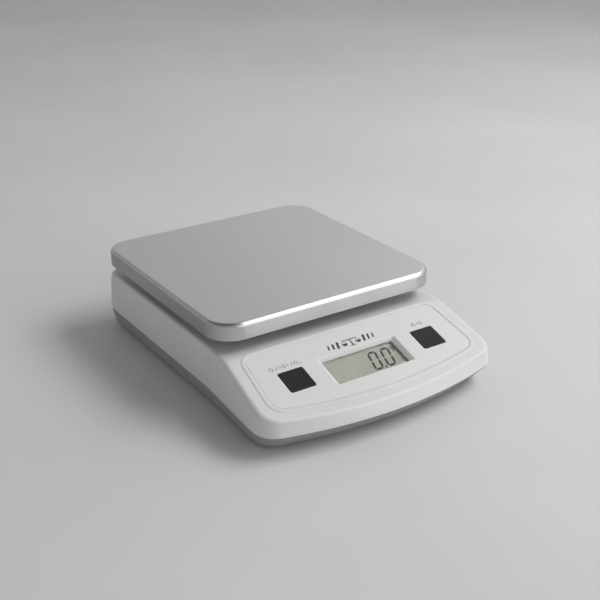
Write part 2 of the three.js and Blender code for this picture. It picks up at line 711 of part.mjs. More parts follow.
const BUTTONS = { tare: -BUTTON_X, unit: BUTTON_X };
for (const [name, x] of Object.entries(BUTTONS)) {
  piece(panel, `${name}_button`, buttonCap(x), MATERIALS.button);
  piece(panel, `${name}_switch`, switchBody(x), MATERIALS.blackPlastic);
  const plunger = rod(1.6, SWITCH_TOP - 0.9, PLUNGER_TOP, x, BUTTON_Y);
  piece(panel, `${name}_switch_plunger`, plunger, MATERIALS.nickel);
}

// ---------------------------------------------------------------- batteries and door

function batteryCell(y, turn) {
  const half = CELL_LENGTH / 2;
  const profile = [
    [0, -half],
    [CELL_RADIUS - 0.6, -half],
    [CELL_RADIUS, 0.6 - half],
    [CELL_RADIUS, half - 2],
    [CELL_RADIUS - 1, half - 1.2],
    [1.9, half - 1.2],
    [1.9, half],
    [0, half],
  ];
  const offset = BAY.half - 0.4 - GAP * 2.5 - half;
  return turned(profile, 0, 0, 20).rotateY(turn * (Math.PI / 2)).translate(turn * offset, y, CELL_Z);
}

piece(scale, 'battery_cell_1', batteryCell(CELL_Y[0], -1), MATERIALS.battery);
piece(scale, 'battery_cell_2', batteryCell(CELL_Y[1], 1), MATERIALS.battery);

// Coil of the negative contact, wound along X from its plate to just short of the cell.
function contactSpring(y, side) {
  const turns = 2.5;
  const steps = 30;
  const outerX = BAY.half - 0.7;
  const innerX = outerX - 4.6;
  const points = [];
  for (let i = 0; i <= steps; i += 1) {
    const share = i / steps;
    const angle = share * turns * Math.PI * 2;
    const radius = 3.4 - 1.2 * share;
    const x = side * (outerX + (innerX - outerX) * share);
    points.push([x, y + radius * Math.cos(angle), CELL_Z + radius * Math.sin(angle)]);
  }
  return tube(points, 0.35, 5, 32);
}

function contactPlate(yLow, yHigh, side) {
  const outer = side * (BAY.half - GAP);
  const inner = side * (BAY.half - GAP - 0.4);
  return block(Math.min(outer, inner), Math.max(outer, inner), yLow, yHigh, 5, 14.5);
}

function solderTab(y) {
  return block(-BAY.half - 3.4, 0.6 - BAY.half, y - 1.5, y + 1.5, 9.3, 9.7);
}

piece(scale, 'battery_contact_plus',
  join(contactPlate(CELL_Y[0] - 4, CELL_Y[0] + 4, -1), solderTab(CELL_Y[0])), MATERIALS.nickel);
piece(scale, 'battery_contact_minus',
  join(contactPlate(CELL_Y[1] - 4, CELL_Y[1] + 4, -1), contactSpring(CELL_Y[1], -1), solderTab(CELL_Y[1])),
  MATERIALS.nickel);
piece(scale, 'battery_contact_bridge',
  join(contactPlate(CELL_Y[0] - 4, CELL_Y[1] + 4, 1), contactSpring(CELL_Y[0], 1)), MATERIALS.nickel);

const DOOR_HINGE_Y = BAY.front + 0.5 + DOOR_THICKNESS / 2;

function batteryDoor() {
  const half = BAY.half - GAP;
  const nose = DOOR_THICKNESS / 2;
  const back = BAY.back - 0.4;
  const section = new THREE.Shape();
  section.absarc(DOOR_HINGE_Y, BOTTOM_Z + nose, nose, Math.PI / 2, Math.PI * 1.5);
  section.lineTo(back, BOTTOM_Z);
  section.lineTo(back, BOTTOM_Z + DOOR_THICKNESS);
  const options = { depth: half * 2, bevelEnabled: false, curveSegments: 6 };
  const plate = new THREE.ExtrudeGeometry(section, options);
  plate.rotateY(Math.PI / 2).rotateX(Math.PI / 2).translate(-half, 0, 0);
  const top = BOTTOM_Z + DOOR_THICKNESS;
  const tabs = [-1, 1].flatMap((side) => {
    const x0 = side * 18 - 3;
    return [
      block(x0, x0 + 6, DOOR_HINGE_Y - 0.2, DOOR_HINGE_Y + 1.6, top - 0.8, top + 1.6),
      block(x0, x0 + 6, DOOR_HINGE_Y - 2.6, DOOR_HINGE_Y + 1.6, BOTTOM_Z + FLOOR + GAP, top + 1.6),
    ];
  });
  const hook = block(-4, 4, back - 1.6, back - 0.2, top - 0.5, top + 1.6);
  const slits = [-1, 1].map((side) => block(side * 6.4 - 0.4, side * 6.4 + 0.4, back - 8, back + 1, 0, 10));
  const grips = [0, 1, 2].map((row) =>
    block(-4.5, 4.5, back - 3.4 - row * 1.8, back - 2.7 - row * 1.8, 0, BOTTOM_Z + 0.5));
  return cut(join(plate, ...tabs, hook), ...slits, ...grips);
}

piece(scale, 'battery_door', batteryDoor(), MATERIALS.base);

// ---------------------------------------------------------------- feet, screws and leads

FOOT_PLACES.forEach(([x, y], index) => {
  const top = BOTTOM_Z + FOOT_POCKET - GAP;
  const profile = [[0, 0], [FOOT_RADIUS - 0.9, 0], [FOOT_RADIUS, 0.9], [FOOT_RADIUS, top], [0, top]];
  piece(scale, `foot_${index + 1}`, turned(profile, x, y, 20), MATERIALS.rubber);
});

SCREW_PLACES.forEach(([x, y], index) => {
  piece(scale, `housing_screw_${index + 1}`, screw(2.9, 2, 1.4, 14, 2.9, x, y), MATERIALS.steel);
});

const LEAD_Y = -14.5;            // solder points on the back of the board, panel coordinates
const LEAD_Z = BOARD_BACK - 1;

piece(scale, 'load_cell_cable', tube([
  [-14, TRAY_Y - 7.6, 24],
  [-14, TRAY_Y - 11, 23],
  [-13, 8, 16],
  [-12, -16, 9.5],
  [-11, -38, 10.5],
  panelPoint(-10, LEAD_Y + 1, LEAD_Z - 5),
  panelPoint(-10, LEAD_Y, LEAD_Z),
], 1.2, 8, 24), MATERIALS.cableGrey);

function batteryLead(y, x, boardX) {
  return tube([
    [-BAY.half - 4.2, y, 9.5],
    [x, y - 2, 8.5],
    [x, 36, 7],
    [x + 2, 0, 7],
    [boardX - 6, -34, 9],
    panelPoint(boardX, LEAD_Y + 1, LEAD_Z - 5),
    panelPoint(boardX, LEAD_Y, LEAD_Z),
  ], 0.7, 5, 30);
}

piece(scale, 'battery_lead_plus', batteryLead(CELL_Y[0], -46, -22), MATERIALS.leadRed);
piece(scale, 'battery_lead_minus', batteryLead(CELL_Y[1], -49.5, -25), MATERIALS.leadBlack);

export default scale;
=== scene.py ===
import json
import math

import bmesh
import bpy
from mathutils import Matrix, Vector


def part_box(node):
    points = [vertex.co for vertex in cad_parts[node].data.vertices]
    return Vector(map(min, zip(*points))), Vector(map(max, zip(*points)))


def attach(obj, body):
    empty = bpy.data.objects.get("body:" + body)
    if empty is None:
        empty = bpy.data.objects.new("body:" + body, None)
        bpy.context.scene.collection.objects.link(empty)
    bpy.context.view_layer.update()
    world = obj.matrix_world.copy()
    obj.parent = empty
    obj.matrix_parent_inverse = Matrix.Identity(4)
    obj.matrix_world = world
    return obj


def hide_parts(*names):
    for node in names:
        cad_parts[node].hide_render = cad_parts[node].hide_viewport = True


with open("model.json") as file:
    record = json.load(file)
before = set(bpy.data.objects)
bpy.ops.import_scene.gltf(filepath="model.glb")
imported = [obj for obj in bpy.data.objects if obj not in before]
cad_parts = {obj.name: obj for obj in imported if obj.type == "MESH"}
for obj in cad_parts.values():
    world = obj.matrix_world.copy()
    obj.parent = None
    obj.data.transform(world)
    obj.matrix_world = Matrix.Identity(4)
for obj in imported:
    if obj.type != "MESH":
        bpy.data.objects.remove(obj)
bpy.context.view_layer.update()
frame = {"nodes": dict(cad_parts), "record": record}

# Looks of a compact digital scale. Lengths are in millimetres and turned into metres when a
# mesh is made. X is to the user's right, Y towards the back, Z up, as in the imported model.

MM = 0.001
WALL = 2.2
GAP = 0.3

# ------------------------------------------------------------------ places from the frame


def box_mm(node):
    low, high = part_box(node)
    return Vector(low) / MM, Vector(high) / MM


upper_low, upper_high = box_mm("upper_housing")
tray_low, tray_high = box_mm("weighing_tray")

HALF_LENGTH = upper_high.y
FRONT_HALF_WIDTH = upper_high.x
REAR_HALF_WIDTH = 69.5
FLARE_Y = -22.7
BOTTOM_Z = box_mm("lower_housing")[0].z
SEAM_Z = upper_low.z
DECK_Z = 33.6
PANEL_SLOPE = math.radians(17.5)
PANEL_Y = -41.4
PANEL_Z = 34.44
TRAY_Y = (tray_low.y + tray_high.y) / 2
BUTTON_X = 41.75
BUTTON_Y = -27.7
BUTTON_WIDTH = 14.5
BUTTON_HEIGHT = 13.9
WINDOW = {"left": -24.8, "right": 24.8, "low": -39.0, "high": -19.4}
LCD_Z = -3.4
PEDESTAL_HALF_DEPTH = 8.0  # of the two blocks that hold the load cell
POST = {"x0": 21.0, "x1": 41.0, "gap": 1.5,
        "y0": TRAY_Y - PEDESTAL_HALF_DEPTH, "y1": TRAY_Y + PEDESTAL_HALF_DEPTH}
OVERLAY_TOP = 0.1

PANEL_MATRIX = Matrix.Translation((0, PANEL_Y, PANEL_Z)) @ Matrix.Rotation(PANEL_SLOPE, 4, "X")


def panel_surface(y):
    return PANEL_Z + (y - PANEL_Y) * math.tan(PANEL_SLOPE)


RIDGE_BLEND = 1.2


def top_surface(y):
    """Deck, then the sloping panel, with a soft ridge between them."""
    slope = panel_surface(y)
    spread = math.sqrt((slope - DECK_Z) ** 2 + RIDGE_BLEND * RIDGE_BLEND * 0.1)
    return (slope + DECK_Z - spread) / 2


# ------------------------------------------------------------------ camera

CAMERA_AZIMUTH = math.radians(-33.83)
CAMERA_ELEVATION = math.radians(24.44)
CAMERA_PLACE = Vector((-283.27, -431.0, 267.1)) * MM
CAMERA_LENS = 60.9
CAMERA_SENSOR = 36


def make_camera():
    flat = math.cos(CAMERA_ELEVATION)
    back = Vector((math.sin(CAMERA_AZIMUTH) * flat, -math.cos(CAMERA_AZIMUTH) * flat,
                   math.sin(CAMERA_ELEVATION)))
    right = Vector((0, 0, 1)).cross(back).normalized()
    up = back.cross(right)
    data = bpy.data.cameras.new("camera")
    data.lens = CAMERA_LENS
    data.sensor_width = CAMERA_SENSOR
    camera = bpy.data.objects.new("camera", data)
    rotation = Matrix((right, up, back)).transposed().to_4x4()
    camera.matrix_world = Matrix.Translation(CAMERA_PLACE) @ rotation
    bpy.context.scene.collection.objects.link(camera)
    bpy.context.scene.camera = camera


make_camera()

# ------------------------------------------------------------------ mesh helpers


def make_object(name, points, faces, matrix=None):
    """A mesh object from points in millimetres."""
    mesh = bpy.data.meshes.new(name)
    move = matrix or Matrix()
    mesh.from_pydata([(move @ Vector(point)) * MM for point in points], [], faces)
    mesh.validate()
    obj = bpy.data.objects.new(name, mesh)
    bpy.context.scene.collection.objects.link(obj)
    build = bmesh.new()
    build.from_mesh(mesh)
    bmesh.ops.recalc_face_normals(build, faces=build.faces)
    build.to_mesh(mesh)
    build.free()
    return obj


def ring_faces(count, first, second):
    """Quads between two rings of the same length that start at the given indices."""
    faces = []
    for i in range(count):
        j = (i + 1) % count
        faces.append((first + i, first + j, second + j, second + i))
    return faces


def ladder_faces(count, start):
    """Caps a ring made by mirrored() with rungs between its two halves."""
    half = count // 2
    last = start + count - 1
    faces = [(start + i, start + i + 1, last - i - 1, last - i) for i in range(half - 1)]
    if count % 2:
        faces.append((start + half - 1, start + half, start + half + 1))
    return faces


def stack(name, rings, cap=ladder_faces, closed=False, matrix=None):
    """A body from rings stacked on each other, capped at both ends unless it closes on itself."""
    count = len(rings[0])
    points = [point for ring in rings for point in ring]
    faces = []
    for k in range(len(rings) - 1):
        faces += ring_faces(count, k * count, (k + 1) * count)
    if closed:
        faces += ring_faces(count, (len(rings) - 1) * count, 0)
    else:
        faces += cap(count, 0)
        faces += cap(count, (len(rings) - 1) * count)
    return make_object(name, points, faces, matrix)


def plain_cap(count, start):
    return [tuple(range(start, start + count))]


def apply_modifiers(obj):
    graph = bpy.context.evaluated_depsgraph_get()
    result = bpy.data.meshes.new_from_object(obj.evaluated_get(graph))
    obj.modifiers.clear()
    old = obj.data
    obj.data = result
    bpy.data.meshes.remove(old)


def combine(target, tools, operation):
    """Applies exact booleans and deletes the tool objects."""
    for tool in tools:
        step = target.modifiers.new("step", "BOOLEAN")
        step.operation = operation
        step.solver = "EXACT"
        step.object = tool
    apply_modifiers(target)
    for tool in tools:
        bpy.data.objects.remove(tool)
    return target


def smooth(obj, degrees=32):
    mesh = obj.data
    limit = math.radians(degrees)
    build = bmesh.new()
    build.from_mesh(mesh)
    bmesh.ops.remove_doubles(build, verts=build.verts, dist=1e-7)
    for face in build.faces:
        face.smooth = True
    for edge in build.edges:
        edge.smooth = len(edge.link_faces) == 2 and edge.calc_face_angle(0) < limit
    build.to_mesh(mesh)
    build.free()
    weighted = obj.modifiers.new("weighted", "WEIGHTED_NORMAL")
    weighted.keep_sharp = True
    weighted.weight = 100
    apply_modifiers(obj)
    return obj


def lerp(a, b, share):
    return tuple(p + (q - p) * share for p, q in zip(a, b))


def bezier(a, b, c, steps):
    """Points of a quadratic curve from a to c, pulled towards b."""
    out = []
    for k in range(steps + 1):
        share = k / steps
        out.append(lerp(lerp(a, b, share), lerp(b, c, share), share))
    return out


def arc(x, y, radius, start, end, steps):
    out = []
    for i in range(steps + 1):
        angle = start + (end - start) * i / steps
        out.append((x + radius * math.cos(angle), y + radius * math.sin(angle)))
    return out


def mirrored(right):
    """Full ring from its right half; only its last point may lie on the middle line."""
    left = [(-x, y) for x, y in right if x > 0]
    return right + left[::-1]


def rounded_rectangle(x0, x1, y0, y1, radius, steps=6):
    quarter = math.pi / 2
    points = arc(x1 - radius, y1 - radius, radius, 0, quarter, steps)
    points += arc(x0 + radius, y1 - radius, radius, quarter, 2 * quarter, steps)
    points += arc(x0 + radius, y0 + radius, radius, 2 * quarter, 3 * quarter, steps)
    points += arc(x1 - radius, y0 + radius, radius, 3 * quarter, 4 * quarter, steps)
    return points


def at_height(ring, z):
    return [(x, y, z) for x, y in ring]


# ------------------------------------------------------------------ housing outlines


BACK_CORNER_STEPS = 14
SIDE_STEPS = 12
FLARE_STEPS = 26
FRONT_CORNER_STEPS = 18
BOW_STEPS = 22
FLARE_EASE = 0.45  # how far the flare is a soft curve and not a straight line


def outline(rear, front, back_y, front_y, rear_radius, corner_radius, bow, grow=0.0):
    """Plan outline of the housing as a closed ring, grown outwards by grow.

    rear and front are half widths, and bow is the radius of the curved front edge.
    """
    rear, front = rear + grow, front + grow
    back_y, front_y = back_y + grow, front_y - grow
    rear_radius, corner_radius = max(rear_radius + grow, 1), max(corner_radius + grow, 1)
    bow = bow + grow
    centre = front_y + bow
    corner_x = front - corner_radius
    corner_y = centre - math.sqrt((bow - corner_radius) ** 2 - corner_x ** 2)
    meet = math.atan2(corner_y - centre, corner_x)
    right = arc(rear - rear_radius, back_y - rear_radius, rear_radius, math.pi / 2, 0,
                BACK_CORNER_STEPS)
    side_top = back_y - rear_radius
    right += [(rear, side_top + (FLARE_Y - side_top) * i / SIDE_STEPS)
              for i in range(1, SIDE_STEPS)]
    for i in range(FLARE_STEPS):
        share = i / FLARE_STEPS
        ease = share * share * (3 - 2 * share)
        blend = FLARE_EASE * ease + (1 - FLARE_EASE) * share
        right.append((rear + (front - rear) * blend, FLARE_Y + (corner_y - FLARE_Y) * share))
    right += arc(corner_x, corner_y, corner_radius, 0, meet, FRONT_CORNER_STEPS)
    right += arc(0, centre, bow, meet, -math.pi / 2, BOW_STEPS)[1:]
    right[-1] = (0.0, front_y)
    return mirrored(right)


def seam_outline(grow=0.0):
    return outline(REAR_HALF_WIDTH, FRONT_HALF_WIDTH, HALF_LENGTH, -HALF_LENGTH,
                   rear_radius=10, corner_radius=12, bow=234, grow=grow)


def crease_outline(grow=0.0):
    return outline(REAR_HALF_WIDTH - 0.5, FRONT_HALF_WIDTH - 0.6, HALF_LENGTH - 0.5,
                   2 - HALF_LENGTH, rear_radius=9.7, corner_radius=11.4, bow=260, grow=grow)


def top_outline(grow=0.0):
    return outline(REAR_HALF_WIDTH - 1.5, FRONT_HALF_WIDTH - 1.7, HALF_LENGTH - 1.5,
                   3.2 - HALF_LENGTH, rear_radius=9, corner_radius=10, bow=300, grow=grow)


def bottom_outline(grow=0.0):
    return outline(REAR_HALF_WIDTH - 2, FRONT_HALF_WIDTH - 3.5, HALF_LENGTH - 2,
                   8.4 - HALF_LENGTH, rear_radius=9, corner_radius=10, bow=234, grow=grow)


# ------------------------------------------------------------------ upper housing

CREASE_SHARE = 0.7
TOP_EDGE = 2.4
FRONT_EDGE = 1.0


def crease_height(y):
    return SEAM_Z + (top_surface(y) - SEAM_Z) * CREASE_SHARE


def wall_columns():
    """For each outline point, the outer wall from the seam up over the rounded top edge."""
    seam, crease, top = seam_outline(), crease_outline(), top_outline()
    inner = top_outline(-TOP_EDGE)
    columns = []
    for s, c, t, i in zip(seam, crease, top, inner):
        facing = min(max((t[1] - i[1]) / -TOP_EDGE, 0.0), 1.0) ** 3
        radius = TOP_EDGE + (FRONT_EDGE - TOP_EDGE) * facing
        x, y = lerp(t, i, radius / TOP_EDGE)
        low = (*s, SEAM_Z)
        bend = (*c, crease_height(c[1]))
        edge = (*t, top_surface(t[1]))
        flat = (x, y, top_surface(y))
        reach = math.dist(bend, edge)
        shoulder = lerp(edge, bend, min(radius / reach, 0.8))
        below = lerp(bend, low, 0.3)
        above = lerp(bend, shoulder, 0.5)
        column = [lerp(low, flat, 0.004), lerp(low, bend, 0.02), lerp(low, bend, 0.35)]
        column += bezier(below, bend, above, 5)
        column += bezier(shoulder, edge, flat, 8)
        columns.append(column)
    return columns


def rings_from(columns):
    return [[column[k] for column in columns] for k in range(len(columns[0]))]


def inner_rings(surface_drop):
    """Inside of the shell, from the top down to the seam."""
    top, crease, seam = top_outline(-WALL - 1), crease_outline(-WALL), seam_outline(-WALL)
    return [
        [(x, y, top_surface(y) - surface_drop) for x, y in top],
        [(x, y, crease_height(y) - surface_drop) for x, y in crease],
        at_height(seam, SEAM_Z),
    ]


def shell_stack(name, outer, inner):
    """Closed shell: outer rings from the open end to the top, inner rings back to the open end."""
    count = len(outer[0])
    rings = outer + inner
    points = [point for ring in rings for point in ring]
    faces = []
    for k in range(len(rings) - 1):
        if k != len(outer) - 1:
            faces += ring_faces(count, k * count, (k + 1) * count)
    faces += ladder_faces(count, (len(outer) - 1) * count)
    faces += ladder_faces(count, len(outer) * count)
    faces += ring_faces(count, (len(rings) - 1) * count, 0)
    return make_object(name, points, faces)


def flared_cutter(name, loop, radius, depth=8.0, height=2.0, top=0.0):
    """Cuts an opening in the panel and rounds its upper edge; loop(grow) gives its outline."""
    rings = [at_height(loop(0), top - depth)]
    steps = 4
    for k in range(steps + 1):
        angle = math.pi / 2 * k / steps
        grow = radius * (1 - math.cos(angle))
        rings.append(at_height(loop(grow), top - radius + radius * math.sin(angle)))
    rings.append(at_height(loop(radius), top + height))
    return stack(name, rings, plain_cap, matrix=PANEL_MATRIX)


KEY_GAP = GAP * 0.8
KEY_OPENING_RADIUS = 1.3


def button_loop(x):
    """Outline of the opening for the key at x, as a function of how far it is grown."""
    def loop(grow):
        half_width = BUTTON_WIDTH / 2 + KEY_GAP + grow
        half_height = BUTTON_HEIGHT / 2 + KEY_GAP + grow
        return rounded_rectangle(x - half_width, x + half_width, BUTTON_Y - half_height,
                                 BUTTON_Y + half_height, KEY_OPENING_RADIUS + grow)
    return loop


WINDOW_SIDE = 2.5
WINDOW_END = 1.4
WINDOW_DEPTH = 1.6
CUT_BELOW = 8.0  # how far a cutter reaches below and above the face it opens
CUT_ABOVE = 2.0


def window_loop(share, grow=0.0):
    """Outline of the window, from the panel face (share 0) to the foot of its bevel (share 1)."""
    side, end = WINDOW_SIDE * share - grow, WINDOW_END * share - grow
    return rounded_rectangle(WINDOW["left"] + side, WINDOW["right"] - side,
                             WINDOW["low"] + end, WINDOW["high"] - end, 0.4, 4)


def window_cutter():
    """Opening with sloping sides that end in a rounded rim at the top and a straight drop below."""
    section = [(1, -CUT_BELOW), (1, -WINDOW_DEPTH - 0.15), (0.97, -WINDOW_DEPTH),
               (0.12, OVERLAY_TOP - 0.16), (0.04, OVERLAY_TOP - 0.05), (-0.04, OVERLAY_TOP),
               (-0.1, OVERLAY_TOP + CUT_ABOVE)]
    rings = [at_height(window_loop(share), z) for share, z in section]
    return stack("window_cutter", rings, plain_cap, matrix=PANEL_MATRIX)


FIELD = {"top_half": 60.0, "bottom_half": 62.2, "high": -4.8, "low": -42.8, "bowed": -48.4}
FIELD_TOP_RADIUS = 6.0
FIELD_BOTTOM_RADIUS = 7.0
BEAD_MIDDLE = 1.45  # from the edge of the field
BEAD_HALF = 1.05
BEAD_HEIGHT = 0.28
BEAD_FOOT = -0.4
BEAD_FULLNESS = 0.6  # 1 is a half ellipse, less is a fuller section


def field_loop(grow):
    """Rounded field of the printed overlay, bowed towards the user."""
    top_half, bottom_half = FIELD["top_half"] + grow, FIELD["bottom_half"] + grow
    high, low, bowed = FIELD["high"] + grow, FIELD["low"] - grow, FIELD["bowed"] - grow
    top_radius, radius = FIELD_TOP_RADIUS + grow, FIELD_BOTTOM_RADIUS + grow
    right = arc(top_half - top_radius, high - top_radius, top_radius, math.pi / 2, 0, 12)
    right += arc(bottom_half - radius, low + radius, radius, 0, -math.pi * 0.42, 14)
    start = right[-1]
    pull = (0.0, 2 * bowed - start[1], 0.0)
    curve = bezier((*start, 0.0), pull, (-start[0], start[1], 0.0), 48)
    right += [(x, y) for x, y, _ in curve[1:25]]
    right[-1] = (0.0, right[-1][1])
    return mirrored(right)


def border_bead():
    """Low rounded bead that frames the overlay."""
    rings = [at_height(field_loop(BEAD_MIDDLE - BEAD_HALF), BEAD_FOOT)]
    steps = 10
    for k in range(1, steps):
        angle = math.pi * k / steps
        across = math.copysign(abs(math.cos(angle)) ** BEAD_FULLNESS, math.cos(angle))
        rings.append(at_height(field_loop(BEAD_MIDDLE - BEAD_HALF * across),
                               BEAD_HEIGHT * math.sin(angle) ** BEAD_FULLNESS))
    rings.append(at_height(field_loop(BEAD_MIDDLE + BEAD_HALF), BEAD_FOOT))
    return stack("border_bead", rings, closed=True, matrix=PANEL_MATRIX)


def rounded_block(name, x0, x1, y0, y1, z0, z1, radius, matrix=None):
    ring = rounded_rectangle(x0, x1, y0, y1, radius)
    return stack(name, [at_height(ring, z0), at_height(ring, z1)], plain_cap, matrix=matrix)


RIB = 1.6  # of the collar round the load cell post and the rim behind the window


def build_upper():
    """Upper shell with its openings and the raised border of the panel."""
    shell = shell_stack("upper_shell", rings_from(wall_columns()), inner_rings(WALL))
    gap = POST["gap"]
    edge = gap + RIB
    collar = rounded_block("collar", POST["x0"] - edge, POST["x1"] + edge, POST["y0"] - edge,
                           POST["y1"] + edge, DECK_Z - 1, DECK_Z + RIB, 2)
    rim = rounded_block("rim", WINDOW["left"] - RIB, WINDOW["right"] + RIB, WINDOW["low"] - RIB,
                        WINDOW["high"] + RIB, -3.1, -1.2, 1, PANEL_MATRIX)
    combine(shell, [collar, rim, border_bead()], "UNION")
    hole = rounded_block("hole", POST["x0"] - gap, POST["x1"] + gap, POST["y0"] - gap,
                         POST["y1"] + gap, 20, 60, 1)
    tools = [
        hole,
        flared_cutter("field_cutter", lambda grow: field_loop(0.04 + grow), 0.05, 0.6),
        window_cutter(),
        flared_cutter("left_cutter", button_loop(-BUTTON_X), 0.3),
        flared_cutter("right_cutter", button_loop(BUTTON_X), 0.3),
    ]
    combine(shell, tools, "DIFFERENCE")
    return smooth(shell)


upper = build_upper()
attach(upper, "housing")
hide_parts("upper_housing")

# ------------------------------------------------------------------ printed overlay and marks


OVERLAY_FOOT = -0.55
OVERLAY_EDGE = 0.08


def build_overlay():
    """Printed sheet in the field, with a softened edge and openings for window and keys."""
    rings = [at_height(field_loop(0), OVERLAY_FOOT)]
    for k in range(4):
        angle = math.pi / 2 * k / 3
        rings.append(at_height(field_loop(-OVERLAY_EDGE * (1 - math.cos(angle))),
                               OVERLAY_TOP - OVERLAY_EDGE + OVERLAY_EDGE * math.sin(angle)))
    sheet = stack("panel_overlay_sheet", rings, matrix=PANEL_MATRIX)
    tools = [
        window_cutter(),
        flared_cutter("left_cutter", button_loop(-BUTTON_X), 0.15, top=OVERLAY_TOP),
        flared_cutter("right_cutter", button_loop(BUTTON_X), 0.15, top=OVERLAY_TOP),
    ]
    combine(sheet, tools, "DIFFERENCE")
    return smooth(sheet)


overlay = build_overlay()
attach(overlay, "housing")
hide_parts("panel_overlay")


def strokes(name, paths, z0, z1):
    """Printed line work: each path is (points, width at the start, width at the end)."""
    points = []
    faces = []
    for path, first_width, last_width in paths:
        left, right = [], []
        last = len(path) - 1
        for i, (x, y) in enumerate(path):
            before = path[max(i - 1, 0)]
            after = path[min(i + 1, last)]
            run = Vector((after[0] - before[0], after[1] - before[1])).normalized()
            half = (first_width + (last_width - first_width) * i / max(last, 1)) / 2
            left.append((x - run.y * half, y + run.x * half))
            right.append((x + run.y * half, y - run.x * half))
        ring = left + right[::-1]
        start = len(points)
        count = len(ring)
        points += at_height(ring, z0) + at_height(ring, z1)
        faces += ring_faces(count, start, start + count)
        side = len(left)
        for base in (start, start + count):
            for i in range(side - 1):
                faces.append((base + i, base + i + 1, base + count - i - 2, base + count - i - 1))
    return make_object(name, points, faces, PANEL_MATRIX)


def flat_shapes(name, shapes, z0, z1):
    """Thin closed prisms from outlines on the panel."""
    points = []
    faces = []
    for shape in shapes:
        start = len(points)
        count = len(shape)
        points += at_height(shape, z0) + at_height(shape, z1)
        faces += ring_faces(count, start, start + count)
        faces.append(tuple(range(start, start + count)))
        faces.append(tuple(range(start + count, start + 2 * count)))
    return make_object(name, points, faces, PANEL_MATRIX)


def circle_path(x, y, radius, start=0.0, end=360.0, squash=1.0):
    steps = 20
    out = []
    for i in range(steps + 1):
        angle = math.radians(start + (end - start) * i / steps)
        out.append((x + radius * squash * math.cos(angle), y + radius * math.sin(angle)))
    return out


INK_LOW, INK_HIGH = OVERLAY_TOP - 0.02, OVERLAY_TOP + 0.02


def slash(x, y, size, width):
    """Leaning stroke between two pictograms."""
    return ([(x - size * 0.25, y - size * 0.5), (x + size * 0.25, y + size * 0.5)], width, width)


def left_marks():
    """Power, zero and off pictograms over the left key."""
    y, size, width = -17.2, 2.2, 0.3
    paths = [
        (circle_path(-50.4, y, 1.1, 120, 420), width, width),
        ([(-50.4, y + 0.2), (-50.4, y + 1.4)], width, width),
        slash(-47.2, y, size, width),
        ([(-45.6, y + 0.8), (-44.6, y), (-45.6, y - 0.8)], width, width),
        (circle_path(-42.9, y, 1.1, 0, 360, 0.7), width, width),
        ([(-40.2, y + 0.8), (-41.2, y), (-40.2, y - 0.8)], width, width),
        slash(-38.4, y, size, width),
        (circle_path(-35.9, y, 1.05), width, width),
        ([(-34.3, y - 1.0), (-32.9, y - 1.0)], width, width),
    ]
    return strokes("left_key_marks", paths, INK_LOW, INK_HIGH)


def right_marks():
    """Weight and drop pictograms over the right key."""
    y, size, width = -16.6, 2.1, 0.32
    paths = [
        ([(38.9, y - 1), (39.4, y + 0.4), (40.8, y + 0.4), (41.3, y - 1), (38.9, y - 1)],
         width, width),
        (circle_path(40.1, y + 0.8, 0.4), width, width),
        slash(42.6, y, size, width),
        ([(44.9, y + 1.2), (44.1, y - 0.1)], width, width),
        (circle_path(44.9, y - 0.35, 0.8, 160, 380), width, width),
        ([(44.9, y + 1.2), (45.7, y - 0.1)], width, width),
    ]
    return strokes("right_key_marks", paths, INK_LOW, INK_HIGH)


def centre_mark():
    """A plain balance pictogram between slanting bars."""
    y = -14.8
    shapes = [
        [(-0.45, y - 2.3), (0.45, y - 2.3), (0.3, y + 2.1), (-0.3, y + 2.1)],
        [(-1.9, y - 2.9), (1.9, y - 2.9), (1.3, y - 2.35), (-1.3, y - 2.35)],
        [(-4.6, y + 1.75), (-0.4, y + 1.45), (-0.4, y + 2.1), (-4.6, y + 2.15)],
        [(4.6, y + 2.15), (0.4, y + 2.1), (0.4, y + 1.45), (4.6, y + 1.75)],
    ]
    for side in (-1, 1):
        pan = side * 4.3
        shapes.append(arc(pan, y - 0.2, 1.75, math.pi, 2 * math.pi, 16))
        shapes.append([(pan - 1.5, y), (pan - 1.15, y), (pan + 0.1, y + 1.6),
                       (pan - 0.1, y + 1.6)])
        shapes.append([(pan + 1.15, y), (pan + 1.5, y), (pan + 0.15, y + 1.55),
                       (pan + 0.02, y + 1.35)])
        for step in range(3):
            x = side * (8.3 + step * 2.9)
            length = 2.3 - 0.4 * step
            half = 0.72 - 0.12 * step
            lean = length * 0.3
            shapes.append([(x - lean - half, y - length), (x - lean + half, y - length),
                           (x + lean + half, y + length), (x + lean - half, y + length)])
    return flat_shapes("centre_mark", shapes, INK_LOW, INK_HIGH)


marks = {"left": left_marks(), "right": right_marks(), "centre": centre_mark()}
for mark in marks.values():
    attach(mark, "housing")

# ------------------------------------------------------------------ display

DIGIT_HEIGHT = 12.9
DIGIT_WIDTH = 5.7
DIGIT_SLANT = 0.215
SEGMENT = 1.3


def bar(ax, ay, bx, by, width, inset):
    """Pointed display segment between two points."""
    run = Vector((bx - ax, by - ay))
    unit = run.normalized()
    side = Vector((-unit.y, unit.x)) * (width / 2)
    a = Vector((ax, ay)) + unit * inset
    b = Vector((bx, by)) - unit * inset
    tip = unit * (width / 2)
    return [tuple(a - tip * 0.2), tuple(a + tip + side), tuple(b - tip + side),
            tuple(b + tip * 0.2), tuple(b - tip - side), tuple(a + tip - side)]


